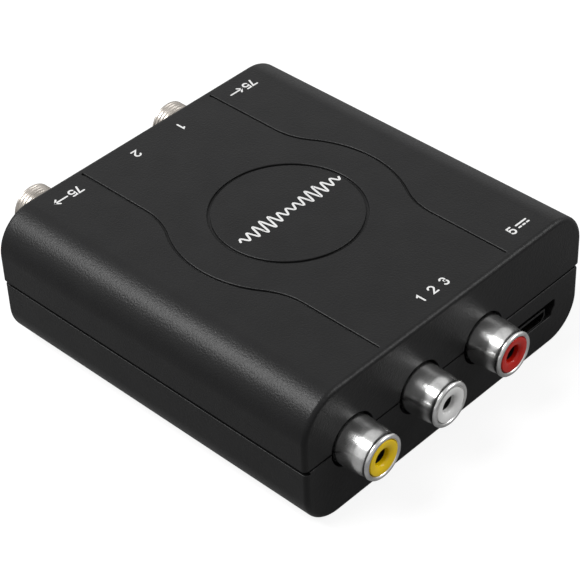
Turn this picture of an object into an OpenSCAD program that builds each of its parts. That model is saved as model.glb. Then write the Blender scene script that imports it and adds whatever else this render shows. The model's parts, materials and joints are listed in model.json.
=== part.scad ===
// Desktop modulator that puts picture and sound on an aerial channel.
// Millimetres, +Z up. The origin is the middle of the underside, on the surface that it stands on.
// -Y is the face with the three phono jacks, +Y the face with the two aerial sockets.

/* [Case] */
// Width of the case, along the row of jacks
case_w = 75; // [72:0.5:90]
// Depth of the case, from the jack face to the aerial face
case_d = 78; // [76:0.5:95]
// Height of the case
case_h = 28.8; // [28:0.2:34]
// Height of the joint line between the two shells
seam_z = 14.6; // [14:0.1:15.4]
// Open width of the joint line
seam_gap = 0.35; // [0.2:0.05:0.5]
// Thickness of the case walls
wall = 2; // [1.7:0.1:2.3]
// Rounding of the two long upper edges
top_round = 8.3; // [6:0.1:9]
// Rounding of the two long lower edges
base_round = 7.7; // [6:0.1:8.5]
// Rounding of the outlines of the front and the back
end_round = 1; // [0.4:0.1:1.5]
// How far each side of the lower shell stands in from the upper shell
base_inset = 0.25; // [0.1:0.05:0.4]
// Height of the lip of the lower shell above the joint line
lip_h = 1.4; // [1:0.1:2]
// Thickness of that lip
lip_t = 0.9; // [0.7:0.05:1]

/* [Engraving] */
// Radius of the ring in the lid, to the middle of its groove
ring_r = 14.6; // [10:0.1:18]
// Width of the ring's groove
ring_w = 0.7; // [0.4:0.05:1]
// Distance of the straight ends of the side grooves from the middle
wave_x = 17; // [16:0.1:20]
// Radius of their bowed middle stretch
wave_r = 22.7; // [22:0.1:26]
// Radius of the bends between the two
wave_bend = 15; // [8:0.5:18]
// Width of the side grooves
wave_w = 0.5; // [0.3:0.05:0.8]
// Distance of the grooves' ends from the front and the back
wave_end = 1.6; // [1.2:0.1:4]
// Depth of the engraving
engrave_depth = 0.4; // [0.2:0.05:0.7]

/* [Phono jacks] */
// Distance of the middle of the first jack from the left side of the case
jack_left = 11.9; // [11.5:0.1:12.5]
// Distance of the middle of the last jack from the right side
jack_right = 28.2; // [28:0.1:30]
// How far a jack stands out of the front
jack_out = 7.2; // [5:0.1:9]
// Outer diameter of a jack's barrel
barrel_d = 8.3; // [8:0.05:8.6]
// Outer diameter of a barrel where it leaves the case
barrel_root_d = 9.7; // [9:0.05:10]
// Outer diameter of the rolled lip at its mouth
barrel_lip_d = 9.1; // [8.8:0.05:9.5]
// Diameter of the hole for a plug's pin
pin_hole_d = 3.4; // [3.2:0.05:3.6]
// Free space between a barrel and the edge of its hole in the case
barrel_gap = 0.45; // [0.3:0.05:0.8]

/* [Aerial sockets] */
// Distance of the middles of the two sockets from the sides of the case
aerial_side = 19; // [18:0.1:20]
// How far a socket stands out of the back
aerial_out = 13.5; // [8:0.1:15]
// Outer diameter of a socket's thread
aerial_d = 9.525; // [9:0.025:10]
// Diameter of the hole for a cable's inner wire
wire_hole_d = 1.4; // [1.1:0.1:1.6]
// Free space between a socket and the edge of its hole in the case
aerial_gap = 0.3; // [0.2:0.05:0.6]

/* [Power inlet] */
// Distance of the middle of the inlet from the right side of the case
inlet_side = 13.7; // [13:0.1:14.5]
// Width of its opening in the case
inlet_open_w = 12.9; // [11:0.1:13.2]
// Height of its opening in the case
inlet_open_h = 3.7; // [3.2:0.1:4.2]
// Width of the receptacle
inlet_w = 7.5; // [7.2:0.1:7.8]
// Height of the receptacle
inlet_h = 2.55; // [2.4:0.05:2.8]
// Depth of the receptacle
inlet_d = 5.4; // [5:0.1:6]

/* [Channel switch] */
// Travel of the slider between the two channels
switch_travel = 2.5; // [1.5:0.1:2.8]
// Width of the slider's knob
knob_w = 3.2; // [2.6:0.1:3.6]
// Height of the slider's knob
knob_h = 2.4; // [2:0.1:2.8]
// How far the knob stands out of the back
knob_out = 1; // [0.4:0.1:2]

/* [Circuit board] */
// Thickness of the circuit board
board_t = 1.6; // [1.2:0.1:1.8]
// Space between the floor of the case and the board
board_rise = 3.3; // [3:0.1:3.5]
// Distance of the sides of the shield can from the middles of the aerial sockets
can_side = 5.5; // [5:0.1:6.5]
// Depth of the shield can
can_d = 20; // [18:0.5:22]
// Space between the lid of the shield can and the roof of the case
can_roof = 2.6; // [2:0.1:3.2]
// Thickness of its sheet
can_t = 0.5; // [0.3:0.05:0.6]

/* [Screws] */
// Space between the lid of the shield can and the bosses beside it
screw_gap = 1.55; // [1:0.05:2]
// Distance of the case screws from the front and the back
screw_end = 16; // [15:0.5:18]
// Diameter of their shanks
screw_d = 2.5; // [2.2:0.1:2.8]
// Length of their shanks
screw_l = 12; // [10:0.5:14]
// Diameter of their heads
screw_head_d = 5; // [4.4:0.1:5.2]
// Height of their heads
screw_head_h = 1.8; // [1.5:0.1:2]

/* [Hidden] */
$fn = 64;

// Reach of a cut beyond the face that it opens
over = 0.5;
// Clearance of pieces that slide past each other or drop into each other
fit_gap = 0.05;
// Clearance of seated pieces that are free of each other
seat_gap = 0.1;
// Facets round a full turn of the shells' rounded edges
round_facets = 32;
// Steps of one quarter turn of a rounded rim
rim_steps = 4;

front = -case_d / 2;
back = case_d / 2;
in_front = front + wall;
in_back = back - wall;
base_w = case_w - 2 * base_inset;
in_w_top = case_w - 2 * wall;
in_w_base = base_w - 2 * wall;
in_d = case_d - 2 * wall;
board_z = wall + board_rise;
board_top = board_z + board_t;
jack_z = seam_z;
jack_pitch = (case_w - jack_left - jack_right) / 2;
aerial_x = case_w / 2 - aerial_side;
aerial_z = seam_z;
inlet_x = case_w / 2 - inlet_side;

// Board outline and its distance from the walls
board_side_gap = 1.75;
board_end_gap = 0.6;
board_w = in_w_base - 2 * board_side_gap;
board_d = in_d - 2 * board_end_gap;
// Clearance round leads and screws in the board
lead_gap = 0.15;
lead_d = 0.6;
lead_out = 1.2;

// Phono jacks
barrel_t = 0.6;
barrel_neck = 1.25;
barrel_seat = 5.2;
block_depth = 9.9;
block_side = 5.4;
block_above = 5.6;
insert_recess = 0.05;
insert_rim = 1.4;
cone_depth = 0.5;
tab_w = 2;
tab_t = 0.5;
tab_place = 2.2;
sleeve_t = 0.3;
sleeve_gap = 0.1;
strip_w = 1.6;
strip_t = 0.3;

// Power inlet
inlet_t = 0.3;
inlet_set_back = 0.15;
inlet_slope = 0.85;
inlet_low = 1.1;
inlet_lip = 0.2;
inlet_lip_d = 0.4;
inlet_plug_d = 1.2;
inlet_foot_w = 0.9;
inlet_foot_d = 2;
open_below = 0.1;
open_upper_share = 0.5;
open_slope_share = 0.28;
open_slope = 0.85;
tongue_w = 3.6;
tongue_t = 0.6;
tongue_top = 0.45;
tongue_front = 0.9;
contact_count = 5;
contact_pitch = 0.65;
contact_w = 0.3;
contact_t = 0.12;
contact_foot = 0.8;

// Aerial sockets
hex_d = 12;
hex_t = 2;
tail_d = 7.6;
tail_in = 1;
socket_wall = 1.2;
insulator_recess = 0.4;
socket_chamfer = 0.5;
thread_stop = 0.8;
neck_d = 9;
contact_tube_d = 2;
contact_tail = 3.5;
leg_w = 0.8;

// Shield can
can_clear_back = 5;
lid_t = 0.4;
lid_skirt = 4;
can_w = 2 * (aerial_x + can_side);
can_h = case_h - wall - can_roof - lid_t - board_top;
can_front_y = in_back - hex_t - can_clear_back - can_d;
can_back_y = can_front_y + can_d;

// Screws, their posts and their bosses
boss_d = 6;
post_d = 8.4;
recess_gap = 0.4;
recess_h = 3.2;
boss_sink = 0.5;
head_slot_w = 0.9;
head_slot_h = 0.8;
screw_x = can_w / 2 + fit_gap + lid_t + screw_gap + boss_d / 2;
screw_y = case_d / 2 - screw_end;

// Parts on the board inside the can
chip_w = 9.9;
chip_d = 3.9;
chip_h = 1.5;
chip_rise = 0.15;
chip_legs = 8;
chip_leg_pitch = 1.27;
chip_leg_w = 0.4;
chip_leg_out = 1;
chip_leg_t = 0.2;
chip_y_share = 0.28;
crystal_l = 11;
crystal_w = 4.7;
crystal_h = 3.5;
crystal_rim = 0.4;
crystal_rim_h = 0.5;
crystal_x_share = -0.27;
crystal_y_share = 0.62;
coil_side = 7;
coil_h = 8;
coil_hole_d = 4;
coil_x_share = 0.3;
coil_y_share = 0.35;
core_d = 3.9;
core_h = 5;
core_slot_w = 0.7;
core_slot_h = 1;
splitter_w = 6;
splitter_d = 4;
splitter_h = 6.5;
splitter_hole_d = 1.6;
splitter_y_share = 0.72;
winding_d = 1.1;
winding_out = 1.3;

// Channel switch
switch_w = 10;
switch_d = 5.2;
switch_h = 4.4;
switch_t = 0.4;
switch_base_h = 1;
carriage_w = 6.2;
carriage_gap = 0.15;
stem_w = 2.6;
stem_h = 1.6;
knob_clear = 0.3;
pin_pitch = 2.5;
pin_d = 0.7;
switch_y = board_d / 2 - switch_d;
switch_mid_z = board_top + (switch_h - switch_t + switch_base_h) / 2;

// Parts on the open board
cap_d = 6.3;
cap_h = 11;
cap_rim = 0.5;
cap_groove = 0.3;
cap_lead_pitch = 2.5;
cap_x_shares = [-0.62, -0.34, -0.06];
cap_y_share = -0.16;
regulator_w = 6.5;
regulator_d = 3.5;
regulator_h = 1.6;
regulator_leg_w = 0.7;
regulator_leg_out = 1.7;
regulator_leg_t = 0.25;
regulator_leg_pitch = 2.3;
regulator_tab_w = 3;
regulator_x_share = 0.42;
regulator_y_share = -0.36;
choke_d = 7.8;
choke_h = 5;
choke_flange = 1;
choke_waist_d = 5;
choke_x_share = 0.3;
choke_y_share = -0.08;
chip_r_l = 2;
chip_r_w = 1.25;
chip_r_h = 0.5;
chip_c_h = 0.9;
resistor_shares = [
    [-0.8, -0.32], [-0.62, -0.36], [-0.44, -0.36], [-0.26, -0.36], [-0.08, -0.36], [0.1, -0.36],
    [0.1, -0.06], [0.62, -0.2], [0.62, 0.02]
];
capacitor_shares = [
    [-0.53, -0.46], [-0.35, -0.46], [-0.17, -0.46], [0.01, -0.46], [0.55, -0.48], [0.55, -0.1],
    [0.12, -0.16]
];

// Points of an arc about a centre
function arc(cx, cy, r, a0, a1, steps) =
    [for (i = [0 : steps]) let (a = a0 + (a1 - a0) * i / steps) [cx + r * cos(a), cy + r * sin(a)]];

// Outline of the receptacle, wide above and narrowed by two slopes below, from a flat bottom at zero
function inlet_outline(w, h, low, slope) = [
    [-w / 2, h], [-w / 2, low], [-w / 2 + slope, 0], [w / 2 - slope, 0], [w / 2, low], [w / 2, h]
];

// Middle of a jack, counted from the left
function jack_x(i) = jack_left - case_w / 2 + i * jack_pitch;

// A round rod along Y
module rod_y(d, y0, y1) {
    translate([0, y0, 0]) rotate([-90, 0, 0]) cylinder(h = y1 - y0, d = d);
}

// A box between two corners
module box(low, high) {
    translate(low) cube(high - low);
}

// A profile of [radius, depth] turned about an axis that runs into the object from a face
module turned_in(points, x, y, z, turn) {
    translate([x, y, z]) rotate([turn, 0, 0]) rotate_extrude() polygon(points);
}

// A bar along Y with rounded rims, the corner of a shell's outside
module corner_bar(x, z, r) {
    d = case_d;
    e = end_round;
    profile = concat(
        [[0, -d / 2]],
        arc(r - e, -d / 2 + e, e, -90, 0, rim_steps),
        arc(r - e, d / 2 - e, e, 0, 90, rim_steps),
        [[0, d / 2]]
    );
    translate([x, 0, z]) rotate([90, 0, 0]) rotate_extrude($fn = round_facets) polygon(profile);
}

// Outside of the case at a given width
module case_body(w) {
    hull() {
        for (side = [-1, 1]) {
            corner_bar(side * (w / 2 - top_round), case_h - top_round, top_round);
            corner_bar(side * (w / 2 - base_round), base_round, base_round);
        }
    }
}

// Inside of the case at a given inner width
module cavity(w) {
    rt = top_round - wall;
    rb = base_round - wall;
    top = case_h - wall;
    steps = round_facets / 4;
    outline = concat(
        arc(w / 2 - rt, top - rt, rt, 0, 90, steps),
        arc(-w / 2 + rt, top - rt, rt, 90, 180, steps),
        arc(-w / 2 + rb, wall + rb, rb, 180, 270, steps),
        arc(w / 2 - rb, wall + rb, rb, 270, 360, steps)
    );
    translate([0, in_back, 0]) rotate([90, 0, 0]) linear_extrude(in_d) polygon(outline);
}

// Runs its children at the four case screws
module at_screws() {
    for (sx = [-1, 1]) for (sy = [-1, 1]) translate([sx * screw_x, sy * screw_y, 0]) children();
}

// Runs its children on the axes of the two aerial sockets
module at_aerials() {
    for (side = [-1, 1]) translate([side * aerial_x, 0, aerial_z]) children();
}

// Holes in the case for the jacks and the aerial sockets
module socket_holes() {
    for (i = [0 : 2]) {
        translate([jack_x(i), 0, jack_z]) {
            rod_y(barrel_root_d + 2 * barrel_gap, front - over, in_front + over);
        }
    }
    at_aerials() rod_y(aerial_d + 2 * aerial_gap, in_back - over, back + over);
}

// A stretch of engraved side groove that bends about an upright axis
module wave_bow(r, turn) {
    rotate_extrude(angle = turn) translate([r - wave_w / 2, 0]) square([wave_w, engrave_depth + over]);
}

// One engraved side groove as a cutter: a bowed middle, two bends and two straight ends
module wave_cutter() {
    reach = wave_r + wave_bend;
    bend_x = wave_x + wave_bend;
    bend_y = sqrt(reach * reach - bend_x * bend_x);
    half = asin(bend_y / reach);
    translate([0, 0, case_h - engrave_depth]) {
        rotate([0, 0, -half]) wave_bow(wave_r, 2 * half);
        for (side = [0, 1]) mirror([0, side, 0]) {
            translate([bend_x, bend_y, 0]) rotate([0, 0, 180]) wave_bow(wave_bend, half);
            translate([wave_x - wave_w / 2, bend_y, 0])
                cube([wave_w, back - wave_end - bend_y, engrave_depth + over]);
        }
    }
}

module top_shell() {
    rebate_w = in_w_base + 2 * lip_t + 2 * seat_gap;
    rebate_d = in_d + 2 * lip_t + 2 * seat_gap;
    low = seam_z + seam_gap / 2;
    rebate_top = seam_z + lip_h + seat_gap;
    color("dimgray") difference() {
        union() {
            difference() {
                case_body(case_w);
                cavity(in_w_top);
                box([-case_w, -case_d, -over], [case_w, case_d, low]);
                box([-rebate_w / 2, -rebate_d / 2, 0], [rebate_w / 2, rebate_d / 2, rebate_top]);
            }
            at_screws() translate([0, 0, board_top])
                cylinder(h = case_h - wall + boss_sink - board_top, d = boss_d);
        }
        at_screws() translate([0, 0, board_top - over])
            cylinder(h = screw_l - (board_top - recess_h) + 2 * over, d = screw_d + 2 * fit_gap);
        socket_holes();
        translate([0, 0, case_h - engrave_depth]) difference() {
            cylinder(h = engrave_depth + over, r = ring_r + ring_w / 2);
            translate([0, 0, -over]) cylinder(h = engrave_depth + 3 * over, r = ring_r - ring_w / 2);
        }
        wave_cutter();
        mirror([1, 0, 0]) wave_cutter();
    }
}

// Opening for the power plug, a slot with a wide top and a narrower bottom
module inlet_opening() {
    h = inlet_open_h;
    upper = h * open_upper_share;
    slope_h = h * open_slope_share;
    w = inlet_open_w;
    x = w / 2 - open_slope;
    outline = [
        [-w / 2, h], [-w / 2, h - upper], [-x, h - upper - slope_h], [-x, 0],
        [x, 0], [x, h - upper - slope_h], [w / 2, h - upper], [w / 2, h]
    ];
    translate([inlet_x, in_front + over, board_top - open_below]) rotate([90, 0, 0])
        linear_extrude(wall + 2 * over) polygon(outline);
}

module bottom_shell() {
    high = seam_z - seam_gap / 2;
    lip_w = in_w_base + 2 * lip_t;
    lip_d = in_d + 2 * lip_t;
    slot_w = knob_w + switch_travel + 2 * knob_clear;
    slot_h = knob_h + 2 * knob_clear;
    color("dimgray") difference() {
        union() {
            difference() {
                union() {
                    difference() {
                        case_body(base_w);
                        box([-case_w, -case_d, high], [case_w, case_d, case_h + over]);
                    }
                    box([-lip_w / 2, -lip_d / 2, high - wall], [lip_w / 2, lip_d / 2, seam_z + lip_h]);
                }
                cavity(in_w_base);
            }
            at_screws() translate([0, 0, wall - over]) cylinder(h = board_z - wall + over, d = post_d);
        }
        at_screws() {
            translate([0, 0, -over]) cylinder(h = recess_h + over, d = screw_head_d + 2 * recess_gap);
            cylinder(h = board_z + over, d = screw_d + 2 * seat_gap);
        }
        socket_holes();
        inlet_opening();
        translate([-slot_w / 2, in_back - over, switch_mid_z - slot_h / 2])
            cube([slot_w, wall + 2 * over, slot_h]);
    }
}

module case_screws() {
    color("silver") at_screws() difference() {
        union() {
            translate([0, 0, recess_h]) cylinder(h = screw_l, d = screw_d);
            translate([0, 0, recess_h - screw_head_h]) cylinder(h = screw_head_h, d = screw_head_d);
        }
        for (turn = [0, 90]) rotate([0, 0, turn])
            translate([-screw_head_d / 3, -head_slot_w / 2, recess_h - screw_head_h - over])
                cube([screw_head_d * 2 / 3, head_slot_w, head_slot_h + over]);
    }
}

// Runs its children at the places of the capacitors
module at_capacitors() {
    for (s = cap_x_shares) translate([s * board_w / 2, cap_y_share * board_d / 2, 0]) children();
}

// Holes in the board for leads and screws
module board_holes() {
    deep = board_t + 2 * over;
    translate([0, 0, board_z - over]) {
        at_screws() cylinder(h = deep, d = screw_d + 2 * seat_gap);
        at_capacitors() for (side = [-1, 1])
            translate([side * cap_lead_pitch / 2, 0, 0]) cylinder(h = deep, d = lead_d + 2 * lead_gap);
        for (i = [-1 : 1]) translate([i * pin_pitch, switch_y + switch_d / 2, 0])
            cylinder(h = deep, d = pin_d + 2 * lead_gap);
        for (i = [0 : 2]) {
            translate([jack_x(i) - tab_w / 2 - lead_gap, jack_tab_y() - lead_gap, 0])
                cube([tab_w + 2 * lead_gap, tab_t + 2 * lead_gap, deep]);
            translate([jack_x(i) - strip_w / 2 - lead_gap, block_back() - lead_gap, 0])
                cube([strip_w + 2 * lead_gap, strip_t + 2 * lead_gap, deep]);
        }
    }
}

module main_board() {
    color("darkgreen") difference() {
        translate([-board_w / 2, -board_d / 2, board_z]) cube([board_w, board_d, board_t]);
        board_holes();
    }
}

// Planes of the jack block along Y
function block_front() = in_front + seat_gap;
function block_back() = block_front() + block_depth;
function jack_tab_y() = block_front() + tab_place;
function barrel_end() = block_front() + barrel_seat;

module jack_block() {
    bore = barrel_d + 2 * fit_gap;
    chamber = pin_hole_d + 2 * sleeve_t + 2 * sleeve_gap;
    color("black") difference() {
        box(
            [jack_x(0) - block_side, block_front(), board_top],
            [jack_x(2) + block_side, block_back(), jack_z + block_above]
        );
        for (i = [0 : 2]) translate([jack_x(i), 0, 0]) {
            translate([0, 0, jack_z]) {
                rod_y(bore, block_front() - over, barrel_end() + fit_gap);
                rod_y(chamber, barrel_end(), block_back() + over);
            }
            box(
                [-tab_w / 2 - fit_gap, jack_tab_y() - fit_gap, board_top - over],
                [tab_w / 2 + fit_gap, jack_tab_y() + tab_t + fit_gap, jack_z]
            );
        }
    }
}

// Metal outside of a jack: straight in the block, then a tapered barrel, a rolled lip and a leg to the board
module jack_barrel(i) {
    r = barrel_d / 2;
    root = barrel_root_d / 2;
    lip = barrel_lip_d / 2;
    inner = r - barrel_t;
    bead = (lip - inner) / 2;
    length = jack_out + barrel_end() - front;
    profile = concat(
        [[inner, length], [inner, bead]],
        arc(inner + bead, bead, bead, 180, 360, 2 * rim_steps),
        [[r, barrel_neck], [root, jack_out], [root, jack_out + wall], [r, jack_out + wall], [r, length]]
    );
    difference() {
        union() {
            turned_in(profile, jack_x(i), front - jack_out, jack_z, -90);
            translate([jack_x(i), 0, 0]) box(
                [-tab_w / 2, jack_tab_y(), board_z - lead_out],
                [tab_w / 2, jack_tab_y() + tab_t, jack_z]
            );
        }
        translate([jack_x(i), 0, jack_z]) rod_y(2 * inner, front, block_back());
    }
}

// Coloured plastic inside of a jack, with a funnel that leads a plug's pin to its hole
module jack_insert(i) {
    r = barrel_d / 2 - barrel_t - fit_gap;
    hole = pin_hole_d / 2;
    length = jack_out + barrel_end() - front;
    profile = [
        [hole, insert_recess + cone_depth], [r - insert_rim, insert_recess], [r, insert_recess],
        [r, length], [hole, length]
    ];
    turned_in(profile, jack_x(i), front - jack_out, jack_z, -90);
}

// Spring sleeve behind an insert, with a strip down to the board
module jack_contact(i) {
    inner = pin_hole_d - 2 * sleeve_gap;
    outer = inner + 2 * sleeve_t;
    y0 = barrel_end() + seat_gap;
    y1 = block_back() + strip_t;
    translate([jack_x(i), 0, 0]) difference() {
        union() {
            translate([0, 0, jack_z]) rod_y(outer, y0, y1);
            box([-strip_w / 2, block_back(), board_z - lead_out], [strip_w / 2, y1, jack_z]);
        }
        translate([0, 0, jack_z]) rod_y(inner, y0 - over, block_back());
    }
}

module video_barrel() {
    color("lightgray") jack_barrel(0);
}

module left_audio_barrel() {
    color("lightgray") jack_barrel(1);
}

module right_audio_barrel() {
    color("lightgray") jack_barrel(2);
}

module video_insert() {
    color("gold") jack_insert(0);
}

module left_audio_insert() {
    color("whitesmoke") jack_insert(1);
}

module right_audio_insert() {
    color("firebrick") jack_insert(2);
}

module video_contact() {
    color("goldenrod") jack_contact(0);
}

module left_audio_contact() {
    color("goldenrod") jack_contact(1);
}

module right_audio_contact() {
    color("goldenrod") jack_contact(2);
}

// Runs its children with the mouth of the receptacle at y = 0 and the board's face at z = 0
module at_inlet() {
    translate([inlet_x, front + inlet_set_back, board_top]) children();
}

// A prism along Y with the receptacle's outline
module inlet_prism(w, h, low, slope, y0, y1) {
    translate([0, y1, 0]) rotate([90, 0, 0])
        linear_extrude(y1 - y0) polygon(inlet_outline(w, h, low, slope));
}

// A prism along Y that fills the receptacle
module inlet_inside(y0, y1) {
    t = inlet_t;
    translate([0, 0, t])
        inlet_prism(inlet_w - 2 * t, inlet_h - 2 * t, inlet_low - t / 2, inlet_slope - t / 2, y0, y1);
}

module inlet_shell() {
    t = inlet_t;
    foot_x = (inlet_w - inlet_slope) / 2;
    foot_y = board_end_gap + wall - inlet_set_back + seat_gap;
    color("silver") at_inlet() difference() {
        union() {
            inlet_prism(inlet_w, inlet_h, inlet_low, inlet_slope, 0, inlet_d);
            box([-inlet_w / 2, 0, inlet_low], [inlet_w / 2, inlet_lip_d, inlet_h + inlet_lip]);
            for (side = [-1, 1]) translate([side * foot_x, foot_y + inlet_foot_d / 2, t / 2])
                cube([2 * inlet_foot_w, inlet_foot_d, t], center = true);
        }
        inlet_inside(-over, inlet_d + over);
    }
}

module inlet_tongue() {
    high = inlet_h - inlet_t - tongue_top;
    color("black") at_inlet() union() {
        inlet_inside(inlet_d - inlet_plug_d, inlet_d);
        box([-tongue_w / 2, tongue_front, high - tongue_t], [tongue_w / 2, inlet_d, high]);
    }
}

// Five strips under the tongue, each with a foot on the board behind the receptacle
module inlet_contacts() {
    high = inlet_h - inlet_t - tongue_top - tongue_t;
    stop = inlet_d - inlet_plug_d;
    w = contact_w;
    color("gold") at_inlet() for (i = [0 : contact_count - 1]) {
        translate([(i - (contact_count - 1) / 2) * contact_pitch, 0, 0]) {
            box([-w / 2, tongue_front + contact_t, high - contact_t], [w / 2, stop, high]);
            box([-w / 2, inlet_d, 0], [w / 2, inlet_d + contact_t, high]);
            box([-w / 2, inlet_d, 0], [w / 2, inlet_d + contact_foot, contact_t]);
        }
    }
}

// Outer end of an aerial socket
function aerial_mouth() = back + aerial_out;

// Threaded metal body: thread, hexagon shoulder outside the can and a tail through its wall
module aerial_socket(side) {
    inner = aerial_d / 2 - socket_wall;
    c = socket_chamfer;
    r = aerial_d / 2;
    length = aerial_mouth() - can_back_y;
    tail = length + tail_in + can_t;
    thread_end = aerial_out - thread_stop;
    profile = [
        [inner, 0], [r - c, 0], [r, c], [r, thread_end], [neck_d / 2, thread_end],
        [neck_d / 2, length - fit_gap], [tail_d / 2, length - fit_gap], [tail_d / 2, tail], [inner, tail]
    ];
    difference() {
        union() {
            turned_in(profile, side * aerial_x, aerial_mouth(), aerial_z, 90);
            translate([side * aerial_x, can_back_y + fit_gap, aerial_z]) rotate([-90, 0, 0])
                cylinder(h = hex_t, d = hex_d, $fn = 6);
        }
        translate([side * aerial_x, 0, aerial_z])
            rod_y(2 * inner, can_front_y, aerial_mouth() + over);
    }
}

// Plastic plug in the socket with a hole for the inner wire
module aerial_insulator(side) {
    r = aerial_d / 2 - socket_wall;
    hole = wire_hole_d / 2;
    seat = contact_tube_d / 2;
    length = aerial_mouth() - can_back_y + tail_in;
    step = insulator_recess + 2 * socket_wall;
    profile = [
        [hole, insulator_recess], [r, insulator_recess], [r, length],
        [seat, length], [seat, step], [hole, step]
    ];
    turned_in(profile, side * aerial_x, aerial_mouth(), aerial_z, 90);
}

// Contact tube in the plug, with a leg down to the board inside the can
module aerial_contact(side) {
    mouth = aerial_mouth() - insulator_recess - 2 * socket_wall - fit_gap;
    y0 = can_back_y - tail_in - contact_tail;
    translate([side * aerial_x, 0, aerial_z]) difference() {
        union() {
            rod_y(contact_tube_d - 2 * fit_gap, y0, mouth);
            box([-leg_w / 2, y0, board_top - aerial_z], [leg_w / 2, y0 + leg_w, 0]);
        }
        rod_y(wire_hole_d - 2 * fit_gap, can_back_y, mouth + over);
    }
}

module aerial_in_socket() {
    color("silver") aerial_socket(1);
}

module aerial_out_socket() {
    color("silver") aerial_socket(-1);
}

module aerial_in_insulator() {
    color("white") aerial_insulator(1);
}

module aerial_out_insulator() {
    color("white") aerial_insulator(-1);
}

module aerial_in_contact() {
    color("goldenrod") aerial_contact(1);
}

module aerial_out_contact() {
    color("goldenrod") aerial_contact(-1);
}

// Open frame of the shield can, soldered to the board
module can_frame() {
    color("lightsteelblue") difference() {
        box([-can_w / 2, can_front_y, board_top], [can_w / 2, can_back_y, board_top + can_h]);
        box(
            [-can_w / 2 + can_t, can_front_y + can_t, board_top - over],
            [can_w / 2 - can_t, can_back_y - can_t, board_top + can_h + over]
        );
        at_aerials() rod_y(tail_d + 2 * fit_gap, can_back_y - can_t - over, can_back_y + over);
    }
}

// Sprung lid that grips the outside of the frame, notched round the shoulders of the sockets
module can_lid() {
    top = board_top + can_h;
    low = top - lid_skirt;
    x = can_w / 2 + fit_gap;
    y0 = can_front_y - fit_gap;
    y1 = can_back_y + fit_gap;
    color("lightsteelblue") difference() {
        box([-x - lid_t, y0 - lid_t, low], [x + lid_t, y1 + lid_t, top + lid_t]);
        box([-x, y0, low - over], [x, y1, top]);
        translate([coil_x(), coil_y(), top - over]) cylinder(h = lid_t + 2 * over, d = coil_hole_d);
        at_aerials() rod_y(hex_d + 2 * seat_gap, y1, y1 + lid_t + over);
    }
}

module modulator_chip() {
    y = can_front_y + can_d * chip_y_share;
    span = (chip_legs - 1) * chip_leg_pitch;
    foot_y = (chip_d + chip_leg_out) / 2;
    color("black") translate([0, y, board_top]) union() {
        box([-chip_w / 2, -chip_d / 2, chip_rise], [chip_w / 2, chip_d / 2, chip_rise + chip_h]);
        for (x = [-span / 2 : chip_leg_pitch : span / 2]) for (side = [-1, 1]) {
            translate([x, side * foot_y, chip_leg_t / 2])
                cube([chip_leg_w, chip_leg_out + chip_leg_t, chip_leg_t], center = true);
            translate([x, side * chip_d / 2, chip_h / 2])
                cube([chip_leg_w, 2 * chip_leg_t, chip_h], center = true);
        }
    }
}

// Crystal in a drawn metal can with a rim round its foot
module reference_crystal() {
    x = crystal_x_share * can_w;
    y = can_front_y + can_d * crystal_y_share;
    run = crystal_l - crystal_w;
    rim_w = crystal_w + 2 * crystal_rim;
    color("silver") translate([x, y, board_top]) union() {
        for (side = [-1, 1]) translate([side * run / 2, 0, 0]) {
            cylinder(h = crystal_h, d = crystal_w);
            cylinder(h = crystal_rim_h, d = rim_w);
        }
        translate([-run / 2, -crystal_w / 2, 0]) cube([run, crystal_w, crystal_h]);
        translate([-run / 2, -rim_w / 2, 0]) cube([run, rim_w, crystal_rim_h]);
    }
}

function coil_x() = coil_x_share * can_w;
function coil_y() = can_front_y + can_d * coil_y_share;

module tuning_coil_can() {
    color("silver") translate([coil_x(), coil_y(), board_top]) difference() {
        translate([-coil_side / 2, -coil_side / 2, 0]) cube([coil_side, coil_side, coil_h]);
        translate([0, 0, coil_h - core_h]) cylinder(h = core_h + over, d = coil_hole_d);
    }
}

module tuning_coil_core() {
    color("dimgray") translate([coil_x(), coil_y(), board_top + coil_h - core_h]) difference() {
        cylinder(h = core_h - core_slot_h, d = core_d);
        translate([-core_d, -core_slot_w / 2, core_h - 2 * core_slot_h])
            cube([2 * core_d, core_slot_w, core_slot_h + over]);
    }
}

function splitter_y() = can_front_y + can_d * splitter_y_share;

// Twin-hole core that divides the signal between the sockets
module splitter_core() {
    color("dimgray") translate([0, splitter_y(), board_top]) difference() {
        translate([-splitter_w / 2, -splitter_d / 2, 0]) cube([splitter_w, splitter_d, splitter_h]);
        for (side = [-1, 1]) translate([0, 0, splitter_h / 2 + side * splitter_h / 5])
            rod_y(splitter_hole_d, -splitter_d, splitter_d);
    }
}

// One turn of enamelled wire through both holes of the core
module splitter_winding() {
    low = splitter_h / 2 - splitter_h / 5;
    high = splitter_h / 2 + splitter_h / 5;
    y0 = splitter_d / 2 + winding_out;
    color("orangered") translate([0, splitter_y(), board_top]) union() {
        for (z = [low, high]) translate([0, 0, z]) rod_y(winding_d, -y0, y0);
        for (side = [-1, 1]) translate([0, side * (y0 - winding_d / 2), 0])
            cylinder(h = side < 0 ? low : high, d = winding_d);
    }
}

// Folded metal cover of the switch, with the slot that the slider's stem runs in
module switch_cover() {
    t = switch_t;
    slot_w = stem_w + switch_travel + 2 * carriage_gap;
    slot_h = stem_h + 2 * carriage_gap;
    color("silver") translate([0, switch_y, board_top]) difference() {
        translate([-switch_w / 2, 0, 0]) cube([switch_w, switch_d, switch_h]);
        translate([-switch_w / 2 + t, t, -over])
            cube([switch_w - 2 * t, switch_d - 2 * t, switch_h - t + over]);
        translate([-slot_w / 2, switch_d - t - over, switch_mid_z - board_top - slot_h / 2])
            cube([slot_w, t + 2 * over, slot_h]);
    }
}

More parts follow.
